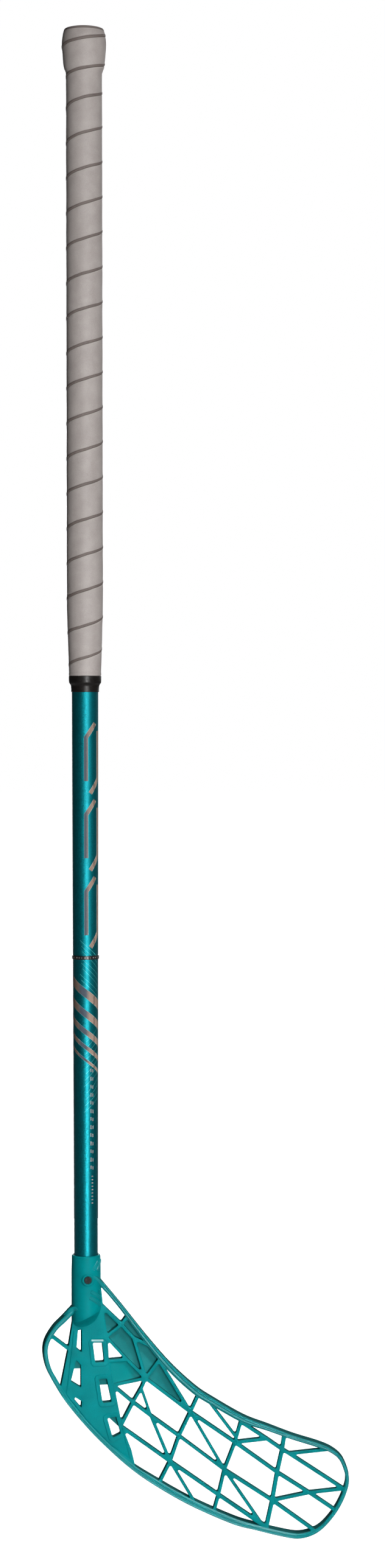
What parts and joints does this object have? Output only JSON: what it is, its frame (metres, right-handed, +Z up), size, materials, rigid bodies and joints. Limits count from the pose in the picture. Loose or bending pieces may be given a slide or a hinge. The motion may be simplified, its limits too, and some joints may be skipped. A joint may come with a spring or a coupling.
{
  "type": "floorball stick",
  "caption": "Floorball stick with a round tapered shaft, a wound grip over a flared end cap, and a curved openwork plastic blade screwed on by its socket.",
  "frame": {"origin": "middle of the flat butt face, at the top end of the stick", "axes": "+Z up along the shaft towards the butt, +X from the shaft towards the blade's toe, and the blade's hollow side faces -Y"},
  "size_m": [0.2405, 0.0373, 1.1839],
  "materials": {
    "teal_paint": "glossy metallic teal lacquer over a composite tube",
    "grip_underlay": "dark matte foam and rubber under the grip",
    "grip_polyurethane": "matte, finely grained polyurethane strip",
    "black_rubber": "smooth black",
    "blade_plastic": "moulded, half matte teal",
    "black_screw": "black oxide"
  },
  "bodies": {
    "root": {"shaft": "teal_paint", "end_cap": "grip_underlay", "grip_underlay": "grip_underlay", "grip_tape": "grip_polyurethane", "grip_end_band": "black_rubber", "marking_ring": "black_rubber", "blade": "blade_plastic", "blade_screw": "black_screw"}
  },
  "joints": []
}
